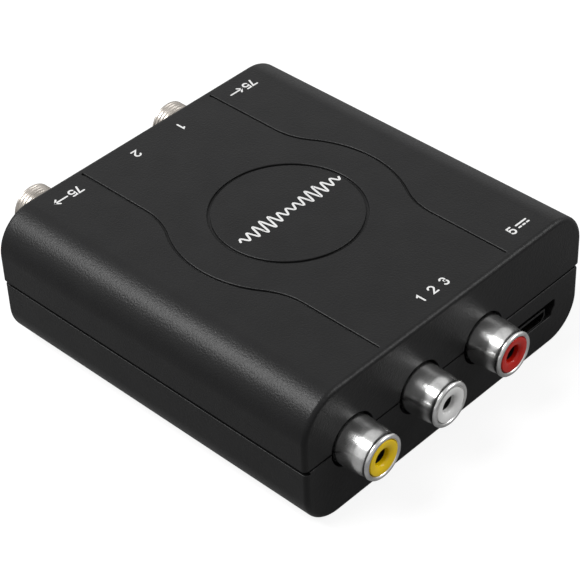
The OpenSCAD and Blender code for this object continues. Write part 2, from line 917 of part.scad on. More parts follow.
module switch_base() {
    t = switch_t + fit_gap;
    color("saddlebrown") translate([0, switch_y, board_top]) difference() {
        translate([-switch_w / 2 + t, t, 0]) cube([switch_w - 2 * t, switch_d - 2 * t, switch_base_h]);
        for (i = [-1 : 1]) translate([i * pin_pitch, switch_d / 2, -over])
            cylinder(h = switch_base_h + 2 * over, d = pin_d + 2 * fit_gap);
    }
}

module switch_pins() {
    color("goldenrod") for (i = [-1 : 1]) {
        translate([i * pin_pitch, switch_y + switch_d / 2, board_z - lead_out])
            cylinder(h = board_t + lead_out + switch_base_h, d = pin_d);
    }
}

// Sliding piece: a carriage in the cover, a stem through its slot and the knob outside, drawn at one end
module switch_slider() {
    y0 = switch_y + switch_t + carriage_gap;
    y1 = switch_y + switch_d - switch_t - carriage_gap;
    high = switch_h - switch_t - switch_base_h - 2 * carriage_gap;
    knob_y = in_back + seat_gap;
    color("black") translate([switch_travel / 2, 0, switch_mid_z]) union() {
        box([-carriage_w / 2, y0, -high / 2], [carriage_w / 2, y1, high / 2]);
        box([-stem_w / 2, y0, -stem_h / 2], [stem_w / 2, back, stem_h / 2]);
        box([-knob_w / 2, knob_y, -knob_h / 2], [knob_w / 2, back + knob_out, knob_h / 2]);
    }
}

// Tall can capacitors with a rolled groove near the foot and two leads through the board
module filter_capacitors() {
    r = cap_d / 2;
    profile = [
        [0, 0], [r, 0], [r, cap_rim * 2], [r - cap_groove, cap_rim * 3], [r, cap_rim * 4],
        [r, cap_h - cap_rim], [r - cap_rim, cap_h], [0, cap_h]
    ];
    color("midnightblue") at_capacitors() union() {
        translate([0, 0, board_top]) rotate_extrude() polygon(profile);
        for (side = [-1, 1]) translate([side * cap_lead_pitch / 2, 0, board_z - lead_out])
            cylinder(h = board_t + lead_out + cap_rim, d = lead_d);
    }
}

module voltage_regulator() {
    x = regulator_x_share * board_w / 2;
    y = regulator_y_share * board_d / 2;
    t = regulator_leg_t;
    reach = regulator_leg_out + t;
    color("black") translate([x, y, board_top]) union() {
        translate([-regulator_w / 2, -regulator_d / 2, 0]) cube([regulator_w, regulator_d, regulator_h]);
        for (i = [-1 : 1]) translate([i * regulator_leg_pitch, -regulator_d / 2 + t - reach, 0])
            translate([-regulator_leg_w / 2, 0, 0]) cube([regulator_leg_w, reach, t]);
        translate([-regulator_tab_w / 2, regulator_d / 2 - t, 0]) cube([regulator_tab_w, reach, t]);
    }
}

module supply_choke() {
    x = choke_x_share * board_w / 2;
    y = choke_y_share * board_d / 2;
    waist = choke_h - 2 * choke_flange;
    color("dimgray") translate([x, y, board_top]) union() {
        cylinder(h = choke_flange, d = choke_d);
        translate([0, 0, choke_flange]) cylinder(h = waist, d = choke_waist_d);
        translate([0, 0, choke_flange + waist]) cylinder(h = choke_flange, d = choke_d);
    }
}

// Small blocks soldered to the board at places given as shares of its half width and half depth
module chip_blocks(shares, h) {
    for (s = shares) translate([s[0] * board_w / 2, s[1] * board_d / 2, board_top])
        translate([-chip_r_l / 2, -chip_r_w / 2, 0]) cube([chip_r_l, chip_r_w, h]);
}

module chip_resistors() {
    color("black") chip_blocks(resistor_shares, chip_r_h);
}

module chip_capacitors() {
    color("tan") chip_blocks(capacitor_shares, chip_c_h);
}

top_shell();
bottom_shell();
case_screws();
main_board();
jack_block();
video_barrel();
left_audio_barrel();
right_audio_barrel();
video_insert();
left_audio_insert();
right_audio_insert();
video_contact();
left_audio_contact();
right_audio_contact();
inlet_shell();
inlet_tongue();
inlet_contacts();
aerial_in_socket();
aerial_out_socket();
aerial_in_insulator();
aerial_out_insulator();
aerial_in_contact();
aerial_out_contact();
can_frame();
can_lid();
modulator_chip();
reference_crystal();
tuning_coil_can();
tuning_coil_core();
splitter_core();
splitter_winding();
switch_cover();
switch_base();
switch_slider();
switch_pins();
filter_capacitors();
voltage_regulator();
supply_choke();
chip_resistors();
chip_capacitors();
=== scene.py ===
"""Looks of a small black aerial modulator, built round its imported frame.

Shapes are worked out in millimetres and become metres when a piece is finished.
-Y is the face with the three phono jacks, +Y the face with the two aerial sockets.
"""
import json
import math

import bmesh
import bpy
from mathutils import Matrix, Vector


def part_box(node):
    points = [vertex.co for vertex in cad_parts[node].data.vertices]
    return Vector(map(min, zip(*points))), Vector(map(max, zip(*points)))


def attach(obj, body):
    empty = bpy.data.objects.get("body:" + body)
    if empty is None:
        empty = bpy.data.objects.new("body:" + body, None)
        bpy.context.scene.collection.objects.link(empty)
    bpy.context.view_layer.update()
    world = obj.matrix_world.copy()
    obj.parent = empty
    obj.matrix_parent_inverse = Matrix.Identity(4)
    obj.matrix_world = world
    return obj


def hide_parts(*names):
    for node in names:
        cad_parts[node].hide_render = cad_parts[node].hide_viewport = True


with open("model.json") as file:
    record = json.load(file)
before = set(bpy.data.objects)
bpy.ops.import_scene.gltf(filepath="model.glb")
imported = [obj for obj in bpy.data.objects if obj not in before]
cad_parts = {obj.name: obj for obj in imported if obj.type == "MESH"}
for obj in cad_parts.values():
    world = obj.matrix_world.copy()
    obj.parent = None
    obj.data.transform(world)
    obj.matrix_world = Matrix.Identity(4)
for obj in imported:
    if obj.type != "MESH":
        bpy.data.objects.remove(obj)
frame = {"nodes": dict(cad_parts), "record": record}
NODES = frame["nodes"]
SLOT_OF = {s["node"]: s["material_slot"] for s in frame["record"]["subparts"]}
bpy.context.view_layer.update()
MM = 0.001
CASE, SLIDER = "case", "channel_slider"


def box_mm(node):
    """Lowest and highest corner of a CAD node, in millimetres."""
    low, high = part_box(node)
    return low / MM, high / MM


def middle_mm(node):
    """Middle of a CAD node's box, in millimetres."""
    low, high = box_mm(node)
    return (low + high) / 2


# Places and sizes that the frame gives, in mm
CASE_LOW, CASE_HIGH = box_mm("top_shell")
CASE_W, CASE_D, CASE_H = CASE_HIGH.x - CASE_LOW.x, CASE_HIGH.y - CASE_LOW.y, CASE_HIGH.z
FRONT, BACK = -CASE_D / 2, CASE_D / 2
BASE_W = 2 * box_mm("bottom_shell")[1].x
LIP_TOP = box_mm("bottom_shell")[1].z
BOARD_Z, BOARD_TOP = box_mm("main_board")[0].z, box_mm("main_board")[1].z
JACKS = {name: middle_mm(name + "_insert") for name in ("video", "left_audio", "right_audio")}
AERIALS = {name: middle_mm(name + "_insulator") for name in ("aerial_in", "aerial_out")}
SEAM_Z = JACKS["video"].z
INLET = middle_mm("inlet_shell")
SLIDE = middle_mm("switch_slider")

# Case
WALL = 2.0
SEAM_GAP, SIDE_DROP = 0.45, 0.5
TOP_ROUND, BASE_ROUND, END_ROUND = 8.3, 7.7, 1.0
LIP_T, SEAT_GAP, LIP_GAP = 0.9, 0.1, 0.05

# Engraving
RING_R, RING_W = 14.6, 0.6
WAVE_X, WAVE_R, WAVE_BEND, WAVE_W, WAVE_END = 17.0, 22.7, 15.0, 0.45, 1.6
ENGRAVE, ENGRAVE_EDGE, ENGRAVE_FOOT = 0.5, 0.17, 0.06

# Openings
BARREL_GAP, AERIAL_GAP = 0.45, 0.3
INLET_W, INLET_H, INLET_UNDER = 12.9, 3.7, 0.1
INLET_UPPER, INLET_SLOPE_H, INLET_SLOPE, INLET_CORNER = 1.85, 1.04, 0.85, 0.45
KNOB_CLEAR, KNOB_SLOT_CORNER = 0.3, 0.4

# Channel switch's slider
TRAVEL = 2.5
KNOB_W, KNOB_H, KNOB_CORNER = 3.2, 2.4, 0.1
STEM_W, STEM_H, CARRIAGE_D, CARRIAGE_CORNER = 2.6, 1.6, 4.1, 0.15
RIB_STEP, RIB_W, RIB_DEEP = 0.85, 0.4, 0.3
SLIDER_EDGE = 0.08

# Screws
HEAD_R, HEAD_H, SHANK_R, SHANK_GAP = 2.5, 1.8, 1.25, 0.05
HEAD_FLAT_R, HEAD_ROUND, HEAD_START, TIP_R, TIP_H = 1.2, 0.6, 280, 0.6, 0.5
CROSS_L, CROSS_W, CROSS_CORNER = 1.7, 0.42, 0.15
CROSS_FOOT_L, CROSS_FOOT_W, CROSS_DEEP = 0.7, 0.3, 0.9
RECESS_R, RECESS_H = 2.9, 3.2
BOSS_R, POST_R, BOSS_SINK = 3.0, 4.2, 0.5
SCREW_X = box_mm("case_screws")[1].x - HEAD_R
SCREW_Y = box_mm("case_screws")[1].y - HEAD_R
SCREW_END = box_mm("case_screws")[1].z

# Phono jacks
BARREL_R, BARREL_T, LIP_R, ROOT_R = 4.15, 0.6, 4.55, 4.85
NECK, NECK_R, SHOULDER, SHOULDER_R = 1.15, 4.42, 3.7, 4.7
BEAD_END, BODY_EASE = 380, 0.8
TAB_W, TAB_T, TAB_PLACE = 2.0, 0.5, 2.3
INSERT_R, PIN_R = 3.5, 1.65
FUNNEL_R, FUNNEL, INSERT_WALL, INSERT_EDGE = 1.3, 0.75, 1.35, 0.15

# Aerial sockets
THREAD_R, THREAD_DEEP, THREAD_PITCH = 4.7625, 0.22, 25.4 / 32
THREAD_STOP, THREAD_FADE, CREST_UNDER = 0.8, 0.5, 0.02
BORE_R, TAIL_R, RELIEF_R = 3.5625, 3.8, 4.5
HEX_R, HEX_T, HEX_GAP = 6.0, 2.0, 0.05
MOUTH_CHAMFER, MOUTH_EDGE_OUT, MOUTH_EDGE_IN, MOUTH_ROUND = 0.45, 0.03, 0.05, 0.12
WIRE_R, TUBE_R, WIRE_DEEP, PLUG_EDGE = 0.7, 1.0, 2.4, 0.15
PLUG_FUNNEL = ((0, 0.5), (0.12, 0.25), (0.5, 0.02), (0.6, 0))

# Printed marks
PRINT_T, LABEL_STROKE, CARRIER_STROKE = 0.03, 0.36, 0.42
DIGIT_STEP = 1.55
BACK_ROW_Y, FRONT_ROW_Y = 34.2, -34.3
AERIAL_OUT_MARK_X, AERIAL_IN_MARK_X, CHANNEL_MARK_X = -21.5, 24.8, 5.9
JACK_MARK_X, POWER_MARK_X = 0.5, 22.4
CARRIER_X, CARRIER_Y = 0.9, 0.2
ARROW_X, ARROW_HALF, ARROW_HEAD = 3.6, 1.5, 0.75
DC_X, DC_HALF, DC_RISE, DC_STEP, DC_DASH_HALF = 3.0, 1.37, 0.4, 1.1, 0.27
CARRIER_SPAN, CARRIER_HEIGHT, CARRIER_LEAST_SHARE, CARRIER_WAVES = 26.0, 1.7, 0.4, 13

# Overruns of cutters, small roundings and how finely things are made
OVER = 1.0
EDGE, EASE = 0.16, 0.03
FINE_EDGE, PLAIN_EDGE = 0.03, 0.12
BLOCK_CORNER, SMALL_CORNER = 0.2, 0.05
MERGE_NEW, MERGE_CUT, MERGE_THIN = 1e-4, 2e-3, 1e-3
SMOOTH_ANGLE, BEVEL_ANGLE, BEVEL_SEGMENTS = 40, 35, 2
ARC_STEPS, TURN_STEPS, CORNER_STEPS, POLYGON_STEPS = 24, 96, 6, 4
RIM_ANGLES = (15, 40, 65, 90)
RIM_STEPS, FOOT_STEPS, BEND_STEPS, BOW_STEPS = 8, 3, 16, 48
BEAD_STEPS, FLARE_STEPS, BODY_STEPS, FUNNEL_STEPS = 18, 4, 12, 8
THREAD_STEPS, CARRIER_STEPS, CAP_STEPS, HEAD_STEPS = 12, 480, 6, 6
BLOCK_STEPS, CROSS_STEPS, EDGE_STEPS, MOUTH_STEPS = 3, 2, 4, 3
LEAST_MITRE = 0.5

# Camera, lamps and stage: lengths in metres and angles in degrees, but the camera's place in mm
SENSOR_W, LENS, CLIP_NEAR, CLIP_FAR = 36, 130.89, 0.01, 20
CAMERA_PLACE = (-215.42, -216.30, 265.52)
YAW, PITCH, ROLL = 44.8336, 39.9173, -2.5312
LAMP_DISTANCE = 0.8
AMBIENT, WORLD_SEEN, WORLD_MIRRORED = 0.42, 1.0, 0.65
FLOOR_HALF, FLOOR_GREY, FLOOR_SEEN, FLOOR_MIRRORED = 3.0, 0.2, 0.84, 0.08

# Shaders: stretch of the noise that is used, turn of a drawn gloss, detail, and sockets of a colour mix
NOISE_LOW, NOISE_HIGH, DRAWN_TURN = 0.3, 0.7, 0.25
BLOTCH_DETAIL, GRAIN_DETAIL = 4, 3
MIX_FACTOR, MIX_FIRST, MIX_SECOND, MIX_RESULT = 0, 6, 7, 2


# Outlines: lists of points in a plane, all counterclockwise

def arc(cx, cy, r, a0, a1, steps):
    """Points of an arc about a centre, from one angle to another in degrees."""
    angles = [math.radians(a0 + (a1 - a0) * i / steps) for i in range(steps + 1)]
    return [(cx + r * math.cos(a), cy + r * math.sin(a)) for a in angles]


def circle(r, steps=TURN_STEPS):
    """A round outline."""
    return arc(0, 0, r, 0, 360, steps)[:-1]


def case_outline(width, inset=0.0):
    """Front view of the case at a given width, drawn in by inset."""
    x, top, base = width / 2, TOP_ROUND, BASE_ROUND
    return (
        arc(x - top, CASE_H - top, top - inset, 0, 90, ARC_STEPS)
        + arc(top - x, CASE_H - top, top - inset, 90, 180, ARC_STEPS)
        + arc(base - x, base, base - inset, 180, 270, ARC_STEPS)
        + arc(x - base, base, base - inset, 270, 360, ARC_STEPS)
    )


def rounded_rect(half_w, half_h, r, steps=CORNER_STEPS):
    """Rectangle about the middle with rounded corners."""
    x, y = half_w - r, half_h - r
    return (
        arc(x, y, r, 0, 90, steps)
        + arc(-x, y, r, 90, 180, steps)
        + arc(-x, -y, r, 180, 270, steps)
        + arc(x, -y, r, 270, 360, steps)
    )


def rounded_polygon(corners, r, grow):
    """Counterclockwise polygon with corners rounded by r and its sides moved out by grow."""
    points = []
    for i, corner in enumerate(corners):
        here = Vector(corner)
        back = (Vector(corners[i - 1]) - here).normalized()
        on = (Vector(corners[(i + 1) % len(corners)]) - here).normalized()
        half = back.angle(on) / 2
        centre = here + (back + on).normalized() * (r / math.sin(half))
        spokes = [here + side * (r / math.tan(half)) - centre for side in (back, on)]
        first, last = [math.atan2(s.y, s.x) for s in spokes]
        sweep = (last - first + math.pi) % (2 * math.pi) - math.pi
        radius = r + grow if sweep > 0 else r - grow
        a0, a1 = math.degrees(first), math.degrees(first + sweep)
        points += arc(centre.x, centre.y, radius, a0, a1, POLYGON_STEPS)
    return points


# Raw objects: closed skins in millimetres

def raw_object(name, verts, faces):
    """A mesh object with its normals outward."""
    mesh = bpy.data.meshes.new(name)
    mesh.from_pydata([tuple(v) for v in verts], [], faces)
    bm = bmesh.new()
    bm.from_mesh(mesh)
    bmesh.ops.remove_doubles(bm, verts=bm.verts, dist=MERGE_NEW)
    bmesh.ops.recalc_face_normals(bm, faces=bm.faces)
    bm.to_mesh(mesh)
    bm.free()
    obj = bpy.data.objects.new(name, mesh)
    bpy.context.scene.collection.objects.link(obj)
    return obj


def loft(name, rings, closed=False):
    """Skin over rings of equal length, capped at both ends, or closed on itself."""
    size = len(rings[0])
    verts = [point for ring in rings for point in ring]
    faces = []
    for k in range(len(rings) if closed else len(rings) - 1):
        a, b = k * size, (k + 1) % len(rings) * size
        faces += [(a + i, a + (i + 1) % size, b + (i + 1) % size, b + i) for i in range(size)]
    if not closed:
        faces += [tuple(range(size)), tuple(range(len(verts) - size, len(verts)))]
    return raw_object(name, verts, faces)


def turned(name, profile, x, y, z, axis="Y", closed=False):
    """Profile of (radius, place along the axis) turned about an axis through a point."""
    rings = []
    for r, u in profile:
        if axis == "Y":
            rings.append([(x + a, y + u, z + b) for a, b in circle(r)])
        else:
            rings.append([(x + a, y + b, z + u) for a, b in circle(r)])
    return loft(name, rings, closed)


def upright(name, layers):
    """Skin over (outline in plan, z) pairs."""
    return loft(name, [[(x, y, z) for x, y in outline] for outline, z in layers])


def along_y(name, layers, x=0.0, z=0.0):
    """Skin over (outline in front view, y) pairs."""
    return loft(name, [[(x + u, y, z + v) for u, v in outline] for outline, y in layers])


def block(name, low, high, r=BLOCK_CORNER):
    """Block between two corners with rounded upright edges."""
    cx, cy = (low[0] + high[0]) / 2, (low[1] + high[1]) / 2
    outline = rounded_rect((high[0] - low[0]) / 2, (high[1] - low[1]) / 2, r, BLOCK_STEPS)
    outline = [(cx + x, cy + y) for x, y in outline]
    return upright(name, [(outline, low[2]), (outline, high[2])])


def joined(name, parts):
    """Several raw objects as one."""
    bm = bmesh.new()
    for part in parts:
        bm.from_mesh(part.data)
        bpy.data.objects.remove(part)
    mesh = bpy.data.meshes.new(name)
    bm.to_mesh(mesh)
    bm.free()
    obj = bpy.data.objects.new(name, mesh)
    bpy.context.scene.collection.objects.link(obj)
    return obj


def settle(obj):
    """Keeps what the modifiers of a raw object make."""
    seen = bpy.context.evaluated_depsgraph_get()
    mesh = bpy.data.meshes.new_from_object(obj.evaluated_get(seen))
    obj.modifiers.clear()
    obj.data = mesh


def combine(obj, other, how="DIFFERENCE"):
    """Cuts other out of obj, or joins it on with UNION."""
    step = obj.modifiers.new("step", "BOOLEAN")
    step.object = other
    step.operation = how
    step.solver = "EXACT"
    settle(obj)
    bpy.data.objects.remove(other)
    return obj


def round_edges(obj, width):
    """Adds a rounding of the sharp edges."""
    step = obj.modifiers.new("edges", "BEVEL")
    step.width = width
    step.segments = BEVEL_SEGMENTS
    step.limit_method = "ANGLE"
    step.angle_limit = math.radians(BEVEL_ANGLE)


def even_shading(obj):
    """Adds shading that stays flat on the faces beside rounded edges."""
    shade = obj.modifiers.new("shade", "WEIGHTED_NORMAL")
    shade.keep_sharp = True


def finished(obj, slot, body=CASE, stands_for=None, material=None):
    """Turns a raw object into a piece: metres, smooth shading, the material of its slot or the one given, and
    a body.
    """
    bm = bmesh.new()
    bm.from_mesh(obj.data)
    bmesh.ops.remove_doubles(bm, verts=bm.verts, dist=MERGE_CUT)
    bmesh.ops.dissolve_degenerate(bm, edges=bm.edges, dist=MERGE_THIN)
    bmesh.ops.scale(bm, vec=(MM, MM, MM), verts=bm.verts)
    bm.to_mesh(obj.data)
    bm.free()
    mesh = obj.data
    mesh.materials.clear()
    mesh.materials.append(material or MATERIALS[slot])
    mesh.polygons.foreach_set("use_smooth", [True] * len(mesh.polygons))
    mesh.set_sharp_from_angle(angle=math.radians(SMOOTH_ANGLE))
    even_shading(obj)
    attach(obj, body)
    if stands_for:
        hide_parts(stands_for)
    return obj


# Materials

def surface(name, base, second, roughness, metallic=0.0, level=0.5, grain=0.2, depth=0.0, blotch=4.0,
            drawn=0.0):
    """A shader whose colour and roughness drift between two values and whose grain stands up by depth.
    Grain, blotch and depth are sizes in mm. Drawn spreads the gloss as a turned or drawn metal part does."""
    material = bpy.data.materials.new(name)
    material.use_nodes = True
    tree = material.node_tree
    shader = tree.nodes["Principled BSDF"]
    shader.inputs["Metallic"].default_value = metallic
    shader.inputs["Specular IOR Level"].default_value = level
    if drawn:
        shader.inputs["Anisotropic"].default_value = drawn
        shader.inputs["Anisotropic Rotation"].default_value = DRAWN_TURN
        around = tree.nodes.new("ShaderNodeTangent")
        around.direction_type = "RADIAL"
        around.axis = "Y"
        tree.links.new(around.outputs["Tangent"], shader.inputs["Tangent"])
    place = tree.nodes.new("ShaderNodeTexCoord")

    def noise(size, detail):
        """Noise whose features have a size in mm."""
        node = tree.nodes.new("ShaderNodeTexNoise")
        node.inputs["Scale"].default_value = 1 / (size * MM)
        node.inputs["Detail"].default_value = detail
        tree.links.new(place.outputs["Object"], node.inputs["Vector"])
        return node.outputs["Fac"]

    def spread(value, low, high):
        """The middle of a noise spread from low to high."""
        node = tree.nodes.new("ShaderNodeMapRange")
        node.inputs["From Min"].default_value = NOISE_LOW
        node.inputs["From Max"].default_value = NOISE_HIGH
        node.inputs["To Min"].default_value = low
        node.inputs["To Max"].default_value = high
        tree.links.new(value, node.inputs["Value"])
        return node.outputs["Result"]

    blend = tree.nodes.new("ShaderNodeMix")
    blend.data_type = "RGBA"
    blend.inputs[MIX_FIRST].default_value = (*base, 1)
    blend.inputs[MIX_SECOND].default_value = (*second, 1)
    tree.links.new(spread(noise(blotch, BLOTCH_DETAIL), 0, 1), blend.inputs[MIX_FACTOR])
    tree.links.new(blend.outputs[MIX_RESULT], shader.inputs["Base Color"])
    fine = noise(grain, GRAIN_DETAIL)
    tree.links.new(spread(fine, *roughness), shader.inputs["Roughness"])
    if depth:
        bump = tree.nodes.new("ShaderNodeBump")
        bump.inputs["Distance"].default_value = depth * MM
        tree.links.new(fine, bump.inputs["Height"])
        tree.links.new(bump.outputs["Normal"], shader.inputs["Normal"])
    return material


MATERIALS = {
    "case_black": surface(
        "fine_grained_black", (0.0055, 0.0055, 0.0057), (0.0075, 0.0075, 0.0077), (0.32, 0.4),
        level=0.2, grain=0.35, depth=0.06, blotch=6),
    "moulded_black": surface(
        "plain_black", (0.008, 0.008, 0.008), (0.011, 0.011, 0.011), (0.4, 0.5),
        level=0.2, grain=0.4, depth=0.01),
    "nickel": surface(
        "bright_nickel", (0.5, 0.5, 0.495), (0.84, 0.84, 0.835), (0.21, 0.26), metallic=1,
        grain=2.5, depth=0, blotch=3, drawn=0.2),
    "insert_yellow": surface(
        "yellow_plastic", (0.84, 0.57, 0.002), (0.9, 0.62, 0.004), (0.08, 0.13),
        level=0.28, grain=0.5, depth=0.004),
    "insert_white": surface(
        "white_plastic", (0.77, 0.77, 0.76), (0.81, 0.81, 0.8), (0.08, 0.13),
        level=0.28, grain=0.5, depth=0.004),
    "insert_red": surface(
        "red_plastic", (0.48, 0.009, 0.003), (0.54, 0.012, 0.005), (0.08, 0.13),
        level=0.28, grain=0.5, depth=0.004),
    "insulator_white": surface(
        "matt_white_plastic", (0.68, 0.67, 0.63), (0.74, 0.73, 0.7), (0.5, 0.6),
        level=0.3, grain=0.4, depth=0.01),
    "gilt_contact": surface(
        "gold_plate", (0.72, 0.52, 0.2), (0.8, 0.6, 0.27), (0.25, 0.38), metallic=1, grain=0.3, depth=0.004),
    "tinned_steel": surface(
        "tin_plate", (0.55, 0.55, 0.54), (0.64, 0.64, 0.62), (0.3, 0.5),
        metallic=1, grain=1.2, depth=0.01, blotch=9),
    "screw_steel": surface(
        "zinc_plate", (0.5, 0.5, 0.49), (0.6, 0.6, 0.58), (0.28, 0.42), metallic=1, grain=0.4, depth=0.006),
    "board_green": surface(
        "green_solder_mask", (0.02, 0.14, 0.055), (0.028, 0.17, 0.07), (0.25, 0.4), grain=0.6, depth=0.02),
    "chip_black": surface(
        "black_epoxy", (0.02, 0.02, 0.022), (0.028, 0.028, 0.03), (0.5, 0.65),
        level=0.3, grain=0.15, depth=0.015),
    "ferrite": surface(
        "dark_ferrite", (0.045, 0.045, 0.047), (0.07, 0.07, 0.07), (0.5, 0.7),
        level=0.4, grain=0.2, depth=0.03),
    "enamelled_wire": surface(
        "varnished_copper", (0.5, 0.14, 0.05), (0.58, 0.19, 0.07), (0.2, 0.3),
        metallic=1, grain=0.5, depth=0.004),
    "phenolic_brown": surface(
        "brown_phenolic", (0.14, 0.06, 0.025), (0.18, 0.08, 0.035), (0.5, 0.65),
        level=0.3, grain=0.3, depth=0.02),
    "sleeve_blue": surface(
        "blue_shrink_sleeve", (0.02, 0.045, 0.16), (0.03, 0.06, 0.2), (0.22, 0.3), grain=0.6, depth=0.01),
    "ceramic_tan": surface(
        "tan_ceramic", (0.38, 0.27, 0.16), (0.44, 0.32, 0.2), (0.4, 0.55), level=0.4, grain=0.25, depth=0.01),
}
# The inlet's shell gets a near-black metal colour: painted shade for the recess it sits in, not the tone of
# its tin plate.
INLET_STEEL_PAINTED_SHADE = surface(
    "tin_plate_with_painted_shade", (0.025, 0.025, 0.025), (0.04, 0.04, 0.04), (0.25, 0.4),
    metallic=1, grain=0.5, depth=0.004)
PRINT_WHITE = surface(
    "white_print", (0.54, 0.54, 0.535), (0.6, 0.6, 0.595), (0.45, 0.6), level=0.3, grain=0.3, depth=0.006)
AERIAL_NICKEL = surface(
    "worn_nickel", (0.32, 0.295, 0.265), (0.62, 0.575, 0.525), (0.28, 0.42), metallic=1,
    grain=0.6, depth=0.003, blotch=3.5, drawn=0.4)


# Cutters for the case

def rim(edge):
    """Steps of (outward, deep) down the rounded rim of a cut."""
    angles = [math.radians(t) for t in RIM_ANGLES]
    return [(edge + EASE, -EASE)] + [(edge * (1 - math.sin(t)), edge * (1 - math.cos(t))) for t in angles]


def opening(name, outline_of, face, inward, x, z):
    """Cutter along Y through a wall. Its outline grows towards the face, which gives a rounded rim."""
    steps = [(EDGE + EASE, -OVER)] + rim(EDGE) + [(0, WALL + OVER)]
    return along_y(name, [(outline_of(out), face + inward * deep) for out, deep in steps], x, z)


def round_hole(r):
    """Outline of a round hole, as a function of how far its rim grows."""
    return lambda grow: circle(r + grow)


def round_openings():
    """Cutters for the jacks and the aerial sockets."""
    cutters = []
    for name, place in JACKS.items():
        cutters.append(opening(name, round_hole(ROOT_R + BARREL_GAP), FRONT, 1, place.x, SEAM_Z))
    for name, place in AERIALS.items():
        cutters.append(opening(name, round_hole(THREAD_R + AERIAL_GAP), BACK, -1, place.x, SEAM_Z))
    return joined("round_openings", cutters)


def inlet_outline(grow):
    """Slot with a wide top and a narrower bottom."""
    wide, narrow = INLET_W / 2, INLET_W / 2 - INLET_SLOPE
    step, low = INLET_H - INLET_UPPER, INLET_H - INLET_UPPER - INLET_SLOPE_H
    corners = [
        (-narrow, 0), (narrow, 0), (narrow, low), (wide, step), (wide, INLET_H),
        (-wide, INLET_H), (-wide, step), (-narrow, low),
    ]
    return rounded_polygon(corners, INLET_CORNER, grow)


def slider_outline(grow):
    """Slot that the knob travels in."""
    out = KNOB_CLEAR + grow
    return rounded_rect((KNOB_W + TRAVEL) / 2 + out, KNOB_H / 2 + out, KNOB_SLOT_CORNER + grow)


def seam_cutter(width, level, up):
    """Cutter for all that lies beyond a level, with a rounded edge there. Up is +1 or -1 along Z."""
    far = (CASE_H + OVER) if up > 0 else -OVER
    layers = [(OVER, far), (OVER, level - up * (EDGE + EASE))]
    layers += [(-deep, level - up * out) for out, deep in rim(EDGE)]
    outlines = [(rounded_rect(width / 2 + o, CASE_D / 2 + o, END_ROUND + o), z) for o, z in layers]
    return upright("seam", outlines)


def groove_section(width):
    """Section of an engraved groove as (across, height), with rounded edges and foot."""
    half = width / 2
    side = [(half + ENGRAVE_EDGE + EASE, CASE_H + OVER)]
    side += [(half + out, CASE_H - deep) for out, deep in rim(ENGRAVE_EDGE)]
    side += arc(half - ENGRAVE_FOOT, CASE_H - ENGRAVE + ENGRAVE_FOOT, ENGRAVE_FOOT, 0, -90, FOOT_STEPS)
    return side + [(-s, z) for s, z in reversed(side)]


def ring_cutter():
    """Cutter for the ring in the lid."""
    rings = []
    for s, z in groove_section(RING_W):
        rings.append([(x, y, z) for x, y in circle(RING_R + s, 2 * TURN_STEPS)])
    return loft("ring_cut", rings, closed=True)


def wave_path():
    """Middle line of the right side groove: straight, bend, bow, bend, straight."""
    reach = WAVE_R + WAVE_BEND
    bend_x = WAVE_X + WAVE_BEND
    bend_y = math.sqrt(reach ** 2 - bend_x ** 2)
    half = math.degrees(math.asin(bend_y / reach))
    upper = [(WAVE_X, BACK - WAVE_END)] + arc(bend_x, bend_y, WAVE_BEND, 180, 180 + half, BEND_STEPS)
    bow = arc(0, 0, WAVE_R, half, -half, BOW_STEPS)
    lower = [(x, -y) for x, y in reversed(upper)]
    return upper + bow[1:-1] + lower


def wave_cutter(side):
    """Cutter for one side groove, swept along its middle line. Side is +1 or -1 along X."""
    path = [Vector(p) for p in wave_path()]
    section = groove_section(WAVE_W)
    rings = []
    for i, p in enumerate(path):
        along = path[min(i + 1, len(path) - 1)] - path[max(i - 1, 0)]
        across = Vector((along.y, -along.x)).normalized()
        rings.append([(side * (p.x + across.x * s), p.y + across.y * s, z) for s, z in section])
    return loft("wave_cut", rings)


def at_screws(make):
    """Raw objects made at the four case screws."""
    return [make(sx * SCREW_X, sy * SCREW_Y) for sx in (-1, 1) for sy in (-1, 1)]


# The two shells

def case_body(name, width):
    """Outside of the case: its front view carried from face to face, with rounded rims."""
    angles = [math.radians(90 * i / RIM_STEPS) for i in range(RIM_STEPS + 1)]
    rims = [(END_ROUND * (1 - math.sin(t)), END_ROUND * (1 - math.cos(t))) for t in angles]
    front = [(case_outline(width, inset), FRONT + deep) for inset, deep in rims]
    back = [(case_outline(width, inset), BACK - deep) for inset, deep in reversed(rims)]
    return along_y(name, front + back)


def cavity(width):
    """Hollow of the case."""
    outline = case_outline(width, WALL)
    return along_y("hollow", [(outline, FRONT + WALL), (outline, BACK - WALL)])


def make_top_shell():
    """Upper shell with its engraving, its half of the round openings and the screw bosses."""
    low = SEAM_Z + SEAM_GAP / 2
    shell = case_body("case_top", CASE_W)
    combine(shell, cavity(CASE_W))
    combine(shell, seam_cutter(CASE_W, low, -1))
    inner_w, inner_d = BASE_W / 2 - WALL + LIP_T + SEAT_GAP, BACK - WALL + LIP_T + SEAT_GAP
    combine(shell, block("rebate", (-inner_w, -inner_d, 0), (inner_w, inner_d, LIP_TOP + SEAT_GAP)))
    roof = CASE_H - WALL + BOSS_SINK
    bosses = at_screws(lambda x, y: turned("boss", [(BOSS_R, BOARD_TOP), (BOSS_R, roof)], x, y, 0, "Z"))
    combine(shell, joined("bosses", bosses), "UNION")
    way = [(SHANK_R + SHANK_GAP, 0), (SHANK_R + SHANK_GAP, SCREW_END + OVER)]
    bores = at_screws(lambda x, y: turned("bore", way, x, y, 0, "Z"))
    combine(shell, joined("bores", bores))
    combine(shell, round_openings())
    combine(shell, joined("engraving", [ring_cutter(), wave_cutter(1), wave_cutter(-1)]))
    return finished(shell, "case_black", stands_for="top_shell")


